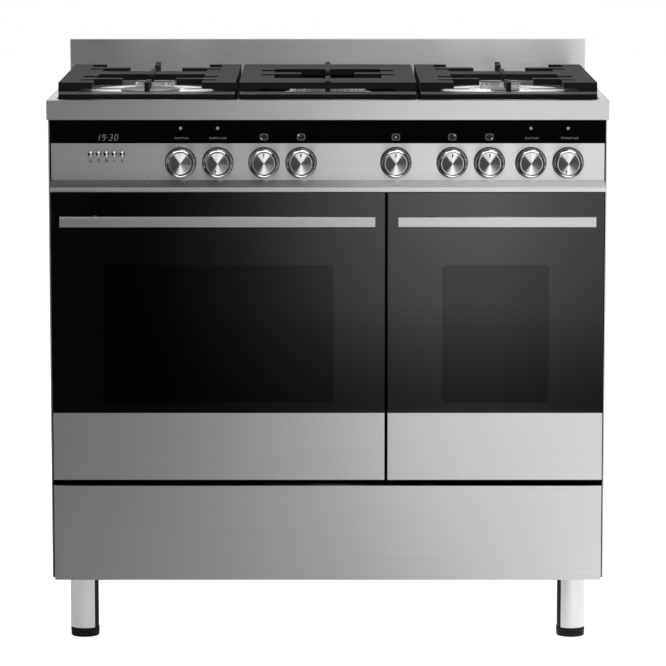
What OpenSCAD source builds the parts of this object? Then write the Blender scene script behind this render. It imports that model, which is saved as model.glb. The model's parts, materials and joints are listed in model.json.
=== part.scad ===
// Freestanding range cooker, 900 mm wide: five gas burners, two ovens and a storage drawer.
// X runs to the right, Y to the back and Z up, all in millimetres. The origin is on the floor,
// under the middle of the whole cooker with its handles.

/* [Overall] */
// Width of the hob, the widest piece
hob_w = 900; // [880:5:930]
// Depth of the hob from its front band to the back of the upstand
hob_d = 600; // [580:5:640]
// Floor to the underside of the body
leg_h = 104; // [85:1:150]
// Thickness of the folded steel sheets
sheet_t = 1.5; // [1:0.1:1.8]

/* [Fronts] */
// Height of the drawer front
drawer_h = 155; // [145:1:180]
// Gap between the drawer front and the doors
drawer_gap = 10; // [9:0.5:14]
// How far the drawer pulls out
drawer_travel = 350; // [200:10:360]
// Height of both oven doors
door_h = 466.5; // [455:0.5:490]
// Width of the left oven door
left_door_w = 534.5; // [525:0.5:545]
// Gap between the two doors
door_gap = 5; // [3:0.5:8]
// Height of the steel panel along the foot of each door
door_panel_h = 109.5; // [90:0.5:125]
// Thickness of a whole door
door_t = 38; // [36:0.5:39]
// Thickness of the outer and inner door glass
glass_t = 4; // [3:0.5:5]
// Width of the glazed window in the left door
left_window_w = 370; // [320:5:390]
// Width of the glazed window in the right door
right_window_w = 172; // [150:2:200]
// Height of both windows
window_h = 223; // [200:1:250]

/* [Handles] */
// Height of the flat handle bar
handle_h = 16; // [12:0.5:20]
// Thickness of the handle bar, front to back
handle_t = 12; // [8:0.5:14]
// Front of the handle bar ahead of the door face
handle_out = 46; // [40:1:60]
// Door edge to the end of its handle
handle_inset = 16; // [10:0.5:30]
// Top of the door to the top of the handle bar
handle_drop = 34.5; // [25:0.5:50]
// Diameter of the posts that hold the handle bar
handle_post_d = 12; // [8:0.5:12]

/* [Control panel] */
// Height of the lip under the control panel
lip_h = 7; // [5:0.5:10]
// Height of the slope that rises from the lip
slope_h = 11; // [8:0.5:16]
// Height of the brushed steel band that carries the knobs
fascia_h = 59; // [57:0.5:70]
// Height of the black glass strip
strip_h = 38; // [30:0.5:45]
// Fascia face behind the door face
fascia_set = 10; // [7:0.5:12]
// Height of the knob axes above the foot of the steel band
knob_rise = 28; // [27:0.5:30]
// Outer diameter of a knob
knob_d = 46.8; // [44:0.2:47]
// Diameter of a knob's flat face
knob_face_d = 35; // [30:0.5:37]
// How far a knob stands out of the fascia
knob_out = 22; // [20:0.5:32]
// Outer diameter of the fixed ring round each knob
bezel_d = 49.4; // [49.4:0.2:52]
// Distance between the knobs of a pair
knob_pitch = 59.5; // [56:0.5:64]
// Middle of the left oven's pair of knobs
left_oven_knobs_x = -206; // [-215:1:-200]
// Middle of the left burners' pair of knobs
left_burner_knobs_x = -72.5; // [-80:0.5:-65]
// Knob of the centre burner
wok_knob_x = 109; // [100:1:120]
// Middle of the right burners' pair of knobs
right_burner_knobs_x = 229; // [225:1:233]
// Middle of the right oven's pair of knobs
right_oven_knobs_x = 355; // [352:1:358]
// Diameter of a clock button
button_d = 9.4; // [6:0.2:9.6]
// Distance between clock buttons
button_pitch = 12.6; // [11:0.1:14]
// Middle of the row of clock buttons
buttons_x = -354.6; // [-360:0.2:-345]
// Travel of a clock button
button_travel = 1.5; // [1:0.1:2]
// Diameter of an indicator lamp
lamp_d = 5; // [4:0.2:7]

/* [Hob] */
// Height of the hob's front band and side skirts
hob_band_h = 31; // [28:0.5:40]
// Depth of the pressed well under the pan supports
well_depth = 8; // [5:0.5:10]
// Front edge of the hob to the well
well_front = 20; // [16:1:24]
// Front to back size of the well
well_d = 440; // [438:1:460]
// Side edge of the hob to the well
well_side = 14; // [12:0.5:17]
// Height of the upstand at the back
upstand_h = 62; // [40:1:90]
// Thickness of the upstand, front to back
upstand_t = 20; // [15:1:30]

/* [Pan supports] */
// Width of one pan support
grate_w = 284; // [282:0.5:286]
// Distance between the middles of neighbouring pan supports
grate_pitch = 290; // [288:0.5:291]
// Front to back size of a pan support
grate_d = 427; // [425:1:430]
// Top of the plates above the hob
grate_rise = 27; // [22:0.5:32]
// Thickness of the cast plates
plate_t = 10; // [8:0.5:12]
// Width of the cast finger bars
bar_w = 8; // [6:0.5:10]
// How far the finger bars stand above the plates
bar_rise = 3; // [2:0.5:6]
// Height of the low front and side rails above the hob
rail_h = 13; // [10:0.5:14]

/* [Burners] */
// Head diameter of the front left burner
big_head_d = 95; // [84:1:98]
// Head diameter of the rear left burner
mid_head_d = 62; // [56:1:70]
// Head diameter of the rear right burner
rear_head_d = 69; // [60:1:74]
// Head diameter of the front right burner
small_head_d = 46; // [40:1:54]
// Outer head diameter of the centre burner
wok_head_d = 126; // [116:1:130]
// Height of a burner head above its cup
head_h = 11; // [8:0.5:13]
// Thickness of a burner cap
cap_t = 3; // [2.5:0.5:6]
// How far a cap reaches over its head
cap_over = 1; // [0.5:0.5:4]
// How far a burner cup spreads round its head
cup_over = 18; // [8:1:20]
// Depth of the front burners behind the door face
front_row = 150; // [145:1:155]
// Depth of the rear burners behind the door face
rear_row = 352; // [347:1:357]
// Depth of the centre burner behind the door face
wok_row = 236; // [230:1:242]

/* [Ovens] */
// Width of the left oven cavity
left_oven_w = 430; // [410:5:440]
// Width of the right oven cavity
right_oven_w = 250; // [230:2:260]
// Height of both oven cavities
oven_h = 350; // [320:5:360]
// Depth of both oven cavities
oven_d = 410; // [380:5:420]
// Foot of the doors to the floor of the cavities
oven_rise = 61; // [56:1:66]
// Radius of the cavity corners
oven_r = 20; // [12:1:30]
// Thickness of the insulation round the cavities
wool_t = 24; // [15:1:25]
// Diameter of the fan in the left oven
left_fan_d = 130; // [110:5:150]
// Diameter of the fan in the right oven
right_fan_d = 110; // [90:5:120]

/* [Legs] */
// Outer diameter of the polished leg sleeves
leg_d = 47; // [40:0.5:55]
// Leg axes from the middle of the cooker
leg_x = 398.5; // [380:0.5:410]
// Front leg axes behind the door face
leg_front = 63.5; // [55:0.5:90]
// Rear leg axes ahead of the back panel
leg_back = 48; // [40:1:70]
// Height of the black foot under each leg
foot_h = 15; // [10:0.5:20]

/* [Hidden] */
$fn = 64;
eps = 0.01;

// Clearance between pieces that run on each other, and between a piece and its seat
run = 0.05;
seat = 0.3;

// Widths, all centred on X = 0
body_w = hob_w - 3;
side_edge = 5.5;
front_w = body_w - 2 * side_edge;
inner_x = body_w / 2 - sheet_t;
left_door = [-front_w / 2, -front_w / 2 + left_door_w];
right_door = [left_door[1] + door_gap, front_w / 2];
left_mid = (left_door[0] + left_door[1]) / 2;
right_mid = (right_door[0] + right_door[1]) / 2;

// Depths, counted from the door face at front_y
hob_set = 6;
front_y = handle_out - (handle_out + hob_set + hob_d) / 2;
frame_y = front_y + door_t + 4;
liner_y = frame_y + sheet_t;
back_y = front_y + hob_set + hob_d - 36;
rear_y = front_y + hob_set + hob_d;
fascia_y = front_y + fascia_set;
strip_y = fascia_y + 2;
side_y = front_y + 22;

// Heights, stacked up from the floor
drawer_z = leg_h;
door_z = drawer_z + drawer_h + drawer_gap;
door_top = door_z + door_h;
lip_z = door_top + 1.5;
slope_z = lip_z + lip_h;
fascia_z = slope_z + slope_h;
strip_z = fascia_z + fascia_h;
band_z = strip_z + strip_h;
hob_z = band_z + hob_band_h;
under_z = hob_z - sheet_t;
knob_z = fascia_z + knob_rise;
oven_z = door_z + oven_rise;
well_z = hob_z - well_depth;
plate_z = hob_z + grate_rise - plate_t;

// Hinge axis of both doors, low in the door and close behind its face
hinge_y = front_y + 20;
hinge_z = door_z + 18;
hinge_pin_r = 4;
hinge_inset = 62;

knob_places = [
    left_oven_knobs_x - knob_pitch / 2, left_oven_knobs_x + knob_pitch / 2,
    left_burner_knobs_x - knob_pitch / 2, left_burner_knobs_x + knob_pitch / 2,
    wok_knob_x,
    right_burner_knobs_x - knob_pitch / 2, right_burner_knobs_x + knob_pitch / 2,
    right_oven_knobs_x - knob_pitch / 2, right_oven_knobs_x + knob_pitch / 2];
oven_knobs = [0, 1, 7, 8];
burner_knobs = [2, 3, 4, 5, 6];
spindle_r = 4;

// One row for each burner: X, depth behind the door face, head diameter
burners = [
    [-grate_pitch, front_row, big_head_d], [-grate_pitch, rear_row, mid_head_d],
    [grate_pitch, rear_row, rear_head_d], [grate_pitch, front_row, small_head_d],
    [0, wok_row, wok_head_d]];
cup_t = 3;

// Basic shapes, each given by its lowest and highest X, Y and Z
module block(x, y, z)
    translate([x[0], y[0], z[0]]) cube([x[1] - x[0], y[1] - y[0], z[1] - z[0]]);
module rod_x(x, y, z, r)
    translate([x[0], y, z]) rotate([0, 90, 0]) cylinder(r = r, h = x[1] - x[0]);
module rod_y(x, y, z, r)
    translate([x, y[1], z]) rotate([90, 0, 0]) cylinder(r = r, h = y[1] - y[0]);
module rod_z(x, y, z, r)
    translate([x, y, z[0]]) cylinder(r = r, h = z[1] - z[0]);

// A flat shape drawn in X and Z, carried from the first to the second Y
module along_y(x, y, z)
    translate([x, y[1], z]) rotate([90, 0, 0]) linear_extrude(y[1] - y[0]) children();
// A flat shape drawn in Y and Z, carried from the first to the second X
module along_x(x)
    translate([x[0], 0, 0]) rotate([90, 0, 90]) linear_extrude(x[1] - x[0]) children();
// A turned shape with its axis pointing out of the fascia
module turned_out(x, y, z)
    translate([x, y, z]) rotate([90, 0, 0]) rotate_extrude() children();

module rounded(w, h, r) {
    square([w - 2 * r, h], center = true);
    square([w, h - 2 * r], center = true);
    for (sx = [-1, 1], sy = [-1, 1])
        translate([sx * (w / 2 - r), sy * (h / 2 - r)]) circle(r);
}
module rounded_ring(w, h, r, wall)
    difference() {
        rounded(w + 2 * wall, h + 2 * wall, r + wall);
        rounded(w, h, r);
    }

// Folded side wall: outer sheet, a hem down the front edge and a flange at the back
module side_panel(side) {
    hem = 4.5;
    mirror([side < 0 ? 1 : 0, 0, 0]) {
        block([inner_x, body_w / 2], [side_y, back_y], [leg_h, under_z]);
        block([body_w / 2 - hem, inner_x + eps], [side_y, side_y + sheet_t], [leg_h, band_z]);
        block([body_w / 2 - hem, body_w / 2 - hem + 1], [side_y, frame_y - 1], [door_z, band_z]);
        block([inner_x - 18, inner_x + eps], [back_y - sheet_t, back_y], [leg_h, under_z]);
    }
}
module left_side_panel() color([0.74, 0.74, 0.75]) side_panel(-1);
module right_side_panel() color([0.74, 0.74, 0.75]) side_panel(1);

// Back cover with two rows of cooling slots, the gas inlet's hole and the fixing holes
back_hole_r = 3;
back_hole_x = 150;
back_hole_z = hob_z - 63;
inlet_x = inner_x - 37;
pipe_r = 7;
module back_panel() color([0.62, 0.63, 0.64]) {
    y = [back_y - 2 * sheet_t, back_y - sheet_t];
    slots = 13;
    difference() {
        block([-inner_x, inner_x], y, [leg_h + sheet_t, under_z]);
        for (i = [0:slots - 1], z = [hob_z - 90, hob_z - 110])
            along_y((i - (slots - 1) / 2) * 52, y + [-1, 1], z) rounded(36, 7, 3.4);
        for (side = [-1, 1])
            rod_y(side * back_hole_x, y + [-1, 1], back_hole_z, back_hole_r);
        rod_y(inlet_x, y + [-1, 1], knob_z, pipe_r + 0.5);
    }
}

module base_tray() color([0.62, 0.63, 0.64]) {
    lip = 24;
    y = [side_y + 4, back_y - 2 * sheet_t];
    block([-inner_x, inner_x], y, [leg_h, leg_h + sheet_t]);
    block([-inner_x, inner_x], [y[1] - sheet_t, y[1]], [leg_h + eps, leg_h + lip]);
}

// Enamelled plate behind the doors, with the mouths of both ovens
module front_frame() color([0.05, 0.05, 0.055])
    difference() {
        block([-inner_x, inner_x], [frame_y, frame_y + sheet_t], [hinge_z - 32, knob_z - 24]);
        along_y(left_mid, [frame_y - 1, frame_y + 3], oven_z + oven_h / 2)
            rounded(left_oven_w, oven_h, oven_r);
        along_y(right_mid, [frame_y - 1, frame_y + 3], oven_z + oven_h / 2)
            rounded(right_oven_w, oven_h, oven_r);
    }

// Oven cavity: a rounded shell closed at the back, with the hole of the fan's shaft
module oven_liner(mid, w) {
    back = liner_y + oven_d;
    difference() {
        along_y(mid, [liner_y, back + sheet_t], oven_z + oven_h / 2)
            rounded(w + 2 * sheet_t, oven_h + 2 * sheet_t, oven_r + sheet_t);
        along_y(mid, [liner_y - 1, back], oven_z + oven_h / 2) rounded(w, oven_h, oven_r);
        rod_y(mid, [back - 1, back + 3], oven_z + oven_h / 2, 8);
    }
}
module left_oven_liner() color([0.1, 0.1, 0.11]) oven_liner(left_mid, left_oven_w);
module right_oven_liner() color([0.1, 0.1, 0.11]) oven_liner(right_mid, right_oven_w);

// Mineral wool blanket wrapped round each cavity
module blanket(mid, w) {
    back = liner_y + oven_d + sheet_t;
    wall = wool_t + sheet_t;
    difference() {
        along_y(mid, [liner_y, back + wool_t], oven_z + oven_h / 2)
            rounded(w + 2 * wall, oven_h + 2 * wall, oven_r + wall);
        along_y(mid, [liner_y - 1, back], oven_z + oven_h / 2)
            rounded(w + 2 * sheet_t, oven_h + 2 * sheet_t, oven_r + sheet_t);
        rod_y(mid, [back - 1, back + wool_t + 1], oven_z + oven_h / 2, 30);
    }
}
module oven_insulation() color([0.86, 0.84, 0.76]) {
    blanket(left_mid, left_oven_w);
    blanket(right_mid, right_oven_w);
}

// Pressed hob: rim, front band, skirts, one shallow well and a raised seat at each burner
hob_front = front_y + hob_set;
well_mid_y = hob_front + well_front + well_d / 2;
module well(w, d, r, z)
    translate([0, well_mid_y, z[0]]) linear_extrude(z[1] - z[0]) rounded(w, d, r);
module hob_top() color([0.76, 0.76, 0.77]) {
    x = hob_w / 2;
    well_w = hob_w - 2 * well_side;
    r = 14;
    difference() {
        union() {
            block([-x, x], [hob_front, rear_y], [under_z, hob_z]);
            block([-x, x], [hob_front, hob_front + sheet_t], [band_z, hob_z]);
            block([-x, x], [rear_y - sheet_t, rear_y], [band_z, hob_z]);
            block([-x, x], [hob_front, strip_y + glass_t + sheet_t], [band_z, band_z + sheet_t]);
            for (side = [-1, 1])
                block(side > 0 ? [x - sheet_t, x] : [-x, sheet_t - x], [hob_front, rear_y],
                    [band_z, hob_z]);
            well(well_w + 2 * sheet_t, well_d + 2 * sheet_t, r + sheet_t,
                [well_z - sheet_t, under_z + eps]);
        }
        well(well_w, well_d, r, [well_z, hob_z + 1]);
        for (b = burners)
            rod_z(b[0], front_y + b[1], [well_z - 4, well_z + 4], b[2] / 2 - 6);
    }
}

// Folded upstand along the back, hollow and open underneath
module upstand() color([0.7, 0.7, 0.71]) {
    x = hob_w / 2;
    y = [rear_y - upstand_t, rear_y];
    difference() {
        block([-x, x], y, [hob_z, hob_z + upstand_h]);
        block([sheet_t - x, x - sheet_t], y + [sheet_t, -sheet_t],
            [hob_z - 1, hob_z + upstand_h - sheet_t]);
    }
}

// Side view of the control panel sheet: lip, slope, band and the ledge behind the glass strip
module panel_side(fill) {
    t = sheet_t;
    outer = [[front_y, lip_z], [front_y, slope_z], [fascia_y, fascia_z], [fascia_y, strip_z],
        [strip_y + glass_t, strip_z], [strip_y + glass_t, band_z]];
    inner = [[strip_y + glass_t + t, band_z], [strip_y + glass_t + t, strip_z - t],
        [fascia_y + t, strip_z - t], [fascia_y + t, fascia_z - t / 2],
        [front_y + t, slope_z - t / 2], [front_y + t, lip_z + t], [frame_y, lip_z + t],
        [frame_y, lip_z]];
    closed = [[strip_y + glass_t + t, band_z], [strip_y + glass_t + t, lip_z]];
    polygon(concat(outer, fill ? closed : inner));
}
knob_hole_r = 7;
module control_panel() color([0.76, 0.76, 0.77]) {
    flare = 3;
    difference() {
        union() {
            along_x([-front_w / 2, front_w / 2]) panel_side(false);
            for (side = [-1, 1])
                along_x(side > 0 ? [front_w / 2 - sheet_t, front_w / 2]
                    : [-front_w / 2, sheet_t - front_w / 2]) panel_side(true);
            // The lip widens at both ends, from nothing at the top of the slope
            intersection() {
                along_x([-front_w / 2 - flare, front_w / 2 + flare]) panel_side(true);
                along_y(0, [front_y, fascia_y + 2], 0) polygon([
                    [-front_w / 2, fascia_z], [front_w / 2, fascia_z],
                    [front_w / 2 + flare, slope_z], [front_w / 2 + flare, lip_z],
                    [-front_w / 2 - flare, lip_z], [-front_w / 2 - flare, slope_z]]);
                union() for (side = [-1, 1])
                    translate([side * front_w / 2, 0, 0])
                        block([-flare - 1, flare + 1], [front_y - 1, frame_y], [lip_z - 1, band_z]);
            }
        }
        for (x = knob_places) rod_y(x, [fascia_y - 1, fascia_y + 4], knob_z, knob_hole_r);
        for (i = [-2:2])
            rod_y(buttons_x + i * button_pitch, [fascia_y - 1, fascia_y + 4], knob_z + 14,
                button_d / 2 + 0.25);
        for (x = lamp_places) rod_y(x, [strip_y, strip_y + glass_t + 3], lamp_z, lamp_d / 2 + 0.1);
    }
}

lamp_z = strip_z + 24;
lamp_places = [knob_places[0], knob_places[1], knob_places[7], knob_places[8]];
module control_glass() color([0.02, 0.02, 0.025])
    difference() {
        block([-front_w / 2 - 1, front_w / 2 + 1], [strip_y, strip_y + glass_t], [strip_z, band_z]);
        for (x = lamp_places) rod_y(x, [strip_y - 1, strip_y + glass_t + 1], lamp_z, lamp_d / 2 + 0.1);
    }
module indicator_lamps() color([0.55, 0.55, 0.52])
    for (x = lamp_places) {
        rod_y(x, [strip_y - 0.3, strip_y + glass_t + 2], lamp_z, lamp_d / 2);
        rod_y(x, [strip_y + glass_t + sheet_t, strip_y + glass_t + 12], lamp_z, lamp_d / 2 + 1.5);
    }

// Clock housing behind the panel, bored for the stems of its buttons
stem_r = 2;
button_seat = 0.5;
clock_y = fascia_y + 6 + button_travel + button_seat;
module clock_module() color([0.08, 0.08, 0.08])
    difference() {
        union() {
            block([buttons_x - 40, buttons_x + 40], [clock_y, clock_y + 26],
                [knob_z + 2, strip_z - 3]);
            for (side = [-1, 1])
                block([buttons_x + side * 42 - 2.5, buttons_x + side * 42 + 2.5],
                    [fascia_y + sheet_t, clock_y + 26], [knob_z + 2, strip_z - 3]);
        }
        for (i = [-2:2])
            rod_y(buttons_x + i * button_pitch, [clock_y - 1, clock_y + 14], knob_z + 14, stem_r + run);
    }
// Domed button head with the stem that runs in the clock housing
module clock_button(i) {
    r = button_d / 2;
    gap = button_travel + button_seat;
    color([0.8, 0.8, 0.8])
        turned_out(buttons_x + (i - 3) * button_pitch, clock_y, knob_z + 14)
            difference() {
                union() {
                    translate([0, -10]) square([stem_r, 11 + gap]);
                    translate([0, gap]) square([r, clock_y - fascia_y + 1 - gap]);
                    translate([0, clock_y - fascia_y + 1]) intersection() {
                        scale([1, 0.6]) circle(r);
                        square([r, r]);
                    }
                }
                translate([-20, -20]) square([20, 60]);
            }
}
module button_1() clock_button(1);
module button_2() clock_button(2);
module button_3() clock_button(3);
module button_4() clock_button(4);
module button_5() clock_button(5);

// Chrome rings fixed to the fascia round the knobs
bezel_h = 4;
knob_gap = 0.5;
module knob_bezels() color([0.8, 0.8, 0.8])
    for (x = knob_places)
        turned_out(x, fascia_y, knob_z) polygon([
            [knob_d / 2 + knob_gap, 0], [bezel_d / 2, 0], [bezel_d / 2, bezel_h - 0.8],
            [bezel_d / 2 - 0.3, bezel_h - 0.2], [knob_d / 2 + knob_gap, bezel_h]]);

// Turned knob: rounded rim, a narrow groove, a flat spun face, and a boss for the spindle
boss_r = 8;
spindle_in = 34;
module knob(i, mark) {
    r = knob_d / 2;
    face_r = knob_face_d / 2;
    groove = 1;
    x = knob_places[i];
    color([0.8, 0.8, 0.8]) difference() {
        turned_out(x, fascia_y, knob_z) polygon([
            [spindle_r + run, 2], [boss_r, 2], [boss_r, 10], [r - 3, 10], [r - 3, 1],
            [r - 0.6, 1], [r, 1.8], [r, knob_out - 5.6], [r - 0.3, knob_out - 3.8],
            [r - 1.1, knob_out - 2], [r - 2.4, knob_out - 0.7], [r - 3.8, knob_out],
            [face_r + groove, knob_out - 0.3], [face_r + groove, knob_out - 2],
            [face_r, knob_out - 2], [face_r, knob_out - 0.8],
            [0, knob_out - 0.8], [0, knob_out - 8], [spindle_r + run, knob_out - 8]]);
        // Index mark cut into the face
        translate([x, fascia_y, knob_z]) rotate([0, mark, 0])
            block([-0.9, 0.9], [-knob_out - 1, -knob_out + 2], [face_r - 7, face_r - 1]);
    }
    color([0.6, 0.6, 0.6])
        rod_y(x, [fascia_y - knob_out + 8 + seat, fascia_y + spindle_in], knob_z, spindle_r);
}
module left_function_knob() knob(0, 90);
module left_temperature_knob() knob(1, 195);
module front_left_knob() knob(2, 0);
module rear_left_knob() knob(3, 0);
module wok_knob() knob(4, 0);
module rear_right_knob() knob(5, 0);
module front_right_knob() knob(6, 0);
module right_function_knob() knob(7, 90);
module right_temperature_knob() knob(8, 195);

// Square supply rail with a tap for each burner, and the pipe that runs back to the inlet
rail_w = 18;
tap_l = 32;
tap_y = fascia_y + tap_l;
rail_y = tap_y + tap_l;
module gas_manifold() color([0.72, 0.62, 0.35]) {
    for (i = burner_knobs) {
        x = knob_places[i];
        difference() {
            union() {
                block([x - 11, x + 11], [tap_y, rail_y], [knob_z - 14, knob_z + 14]);
                rod_y(x, [tap_y - 14, tap_y + eps], knob_z, 9);
            }
            rod_y(x, [tap_y - 15, rail_y - 14], knob_z, spindle_r + run);
        }
    }
    difference() {
        union() {
            block([-inner_x, inner_x], [rail_y, rail_y + rail_w],
                [knob_z - rail_w / 2, knob_z + rail_w / 2]);
            rod_y(inlet_x, [rail_y + rail_w - 2, back_y - sheet_t], knob_z, pipe_r);
        }
        block([-inner_x + 4, inner_x - 4], [rail_y + 2, rail_y + rail_w - 2],
            [knob_z - rail_w / 2 + 2, knob_z + rail_w / 2 - 2]);
        rod_y(inlet_x, [rail_y + 6, back_y], knob_z, pipe_r - 2);
    }
}

// Selector and thermostat bodies, clamped to the back of the fascia
module oven_switches() color([0.85, 0.83, 0.78])
    for (i = oven_knobs) {
        x = knob_places[i];
        difference() {
            union() {
                rod_y(x, [fascia_y + sheet_t, fascia_y + 12], knob_z, 12);
                block([x - 23, x + 23], [fascia_y + 12 - eps, fascia_y + 48], [knob_z - 18, knob_z + 26]);
            }
            rod_y(x, [fascia_y, fascia_y + 40], knob_z, spindle_r + run);
        }
    }

// Burner, from the hob up: cup with its jet pot, slotted head and plain cap
module burner_cups() color([0.78, 0.78, 0.76])
    for (b = burners)
        translate([b[0], front_y + b[1], well_z]) rotate_extrude() polygon([
            [b[2] / 2 - 14, 0 - 18], [b[2] / 2 - 7, -18], [b[2] / 2 - 7, 0],
            [b[2] / 2 + cup_over, 0], [b[2] / 2 + cup_over - 3, cup_t], [b[2] / 2 - 14, cup_t]]);
module burner_heads() color([0.8, 0.8, 0.79])
    for (b = burners)
        translate([b[0], front_y + b[1], well_z + cup_t]) slotted_head(b[2]);
module slotted_head(d) {
    ports = 2 * round(d / 6.5);
    difference() {
        cylinder(d = d, h = head_h);
        translate([0, 0, -1]) cylinder(d = d - 18, h = head_h + 2);
        for (i = [0:ports - 1])
            rotate([0, 0, (i + 0.5) * 360 / ports])
                block([-1.1, 1.1], [d / 2 - 6, d / 2 + 1], [head_h - 5, head_h - 1.5]);
    }
}
module burner_caps() color([0.3, 0.3, 0.31])
    for (b = burners)
        translate([b[0], front_y + b[1], well_z + cup_t + head_h]) cap(b[2]);
module cap(d) {
    r = d / 2 + cap_over;
    rotate_extrude() polygon([[0, 0], [r - 0.6, 0], [r, 0.6], [r, cap_t - 1.4],
        [r - 1.6, cap_t - 0.4], [r - 8, cap_t], [0, cap_t]]);
}
module igniters() color([0.9, 0.9, 0.86])
    for (b = burners)
        translate([b[0], front_y + b[1], 0]) rotate([0, 0, 205])
            rod_z(b[2] / 2 + 3.6, 0, [well_z + cup_t, well_z + cup_t + head_h - 1.5], 2.2);

// Pan support casting. Plates run along both sides, with stepped fingers towards the burners.
// Depths behind the door face, for the edges of the plates and fingers
plate_front = hob_set + 24;
plate_back = plate_front + grate_d;
root_w = 32;
step_w = 54;
reach = 98;
module side_fingers(rows)
    // Each row: width from the side edge, first and last depth
    for (row = rows, side = [0, 1])
        mirror([side, 0]) translate([-grate_w / 2, row[1]]) square([row[0], row[2] - row[1]]);
module outer_plate_plan() {
    side_fingers([
        [root_w, plate_front, plate_back],
        [step_w, plate_front, 79], [step_w, 97, 150], [reach, 108, 134],
        [step_w, 178, 328],
        [step_w, 351, 392], [reach, 356, 382], [step_w, 443, plate_back]]);
    translate([-grate_w / 2 + 1, 220]) square([grate_w - 2, 65]);
}
module centre_plate_plan() {
    side_fingers([[root_w, plate_front, plate_back], [step_w, plate_front, 190],
        [step_w, 216, 288], [reach, 226, 262], [step_w, 319, plate_back]]);
    translate([-grate_w / 2 + 1, plate_front]) square([grate_w - 2, 99]);
    translate([-grate_w / 2 + 1, 341]) square([grate_w - 2, plate_back - 341]);
}
// Low rail whose ends rise and flare out under the first fingers, in a curve
web_w = 30;
module rail_face(w, high) {
    top = plate_z + 1 - hob_z;
    flare = step_w - web_w - 3;
    curve = [for (i = [0:8]) [w / 2 - web_w - flare * (1 - cos(i * 90 / 8)),
        high + (top - high) * sin(i * 90 / 8)]];
    left = [for (i = [8:-1:0]) [-curve[i][0], curve[i][1]]];
    difference() {
        translate([-w / 2, 0]) square([w, top]);
        polygon(concat([[w / 2 - web_w - 4, high - 1.2], [w / 2 - web_w - 1, high - 0.8]], curve,
            [[w / 2 - web_w - flare, top + 1], [-w / 2 + web_w + flare, top + 1]], left,
            [[-w / 2 + web_w + 1, high - 0.8], [-w / 2 + web_w + 4, high - 1.2]]));
    }
}
module casting(mid) {
    rail_t = 8;
    side_top = plate_z + eps;
    translate([mid, front_y, 0]) {
        translate([0, 0, plate_z]) linear_extrude(plate_t) children(0);
        // Front rail, back rail and the side rails that join them
        translate([0, 0, hob_z]) {
            along_y(0, [plate_front, plate_front + rail_t], 0) rail_face(grate_w, rail_h);
            along_y(0, [plate_back - rail_t, plate_back], 0) rail_face(grate_w, 16.5);
        }
        for (side = [0, 1]) mirror([side, 0, 0]) {
            block([-grate_w / 2, -grate_w / 2 + rail_t], [plate_front, plate_back], [hob_z, hob_z + rail_h]);
            for (y = [plate_front, 235, plate_back - 30])
                block([-grate_w / 2, -grate_w / 2 + rail_t], [y, y + 30], [hob_z + rail_h - eps, side_top]);
            // Feet that stand in the well
            for (y = [plate_front + 16, plate_back - 16])
                rod_z(-grate_w / 2 + 14, y, [well_z, hob_z + 6], 7);
        }
        children(1);
    }
}
// Upright finger bar along Y, with rounded shoulders, from its first to its last depth
module finger_bar(y, low, high, nub = false) {
    r = 6;
    k = 0.29 * r;
    back = nub ? [[y[1] - nub_d - 3, high], [y[1] - nub_d, high + nub_rise - 0.6],
        [y[1] - nub_d + 2, high + nub_rise], [y[1] - 5, high + nub_rise],
        [y[1] - 1.6, high + nub_rise - 1.4], [y[1], high + nub_rise - 5]]
        : [[y[1] - r, high], [y[1] - k, high - k], [y[1], high - r]];
    along_x([-bar_w / 2, bar_w / 2]) polygon(concat([
        [y[0], low], [y[0], high - r], [y[0] + k, high - k], [y[0] + r, high]],
        back, [[y[1], low]]));
}
nub_d = 16;
nub_rise = 1.5;
// Stem from the low rail up into the plate, under the root of a finger bar
module finger_stem(y, low)
    block([-bar_w / 2, bar_w / 2], y, [low, plate_z + 3]);
bar_top = plate_z + plate_t + bar_rise;
module outer_bars() {
    finger_stem([plate_front, plate_front + 14], hob_z + 4);
    finger_stem([plate_back - 14, plate_back], hob_z + 8);
    block([-bar_w / 2, bar_w / 2], [plate_front, front_row - 43], [plate_z - 3, plate_z + plate_t]);
    finger_bar([front_row + 42, rear_row - 40], plate_z + 0.5, bar_top);
    finger_bar([rear_row + 44, plate_back], plate_z + 1, bar_top, true);
}
module centre_bars() {
    finger_stem([plate_front, plate_front + 14], hob_z + 4);
    finger_stem([plate_back - 14, plate_back], hob_z + 8);
    finger_bar([plate_front, 146], plate_z + 1, bar_top);
    finger_bar([272, plate_back], plate_z + 1, bar_top, true);
}
module left_pan_support() color([0.09, 0.09, 0.095])
    casting(-grate_pitch) { outer_plate_plan(); outer_bars(); }
module centre_pan_support() color([0.09, 0.09, 0.095])
    casting(0) { centre_plate_plan(); centre_bars(); }
module right_pan_support() color([0.09, 0.09, 0.095])
    casting(grate_pitch) { outer_plate_plan(); outer_bars(); }

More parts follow.
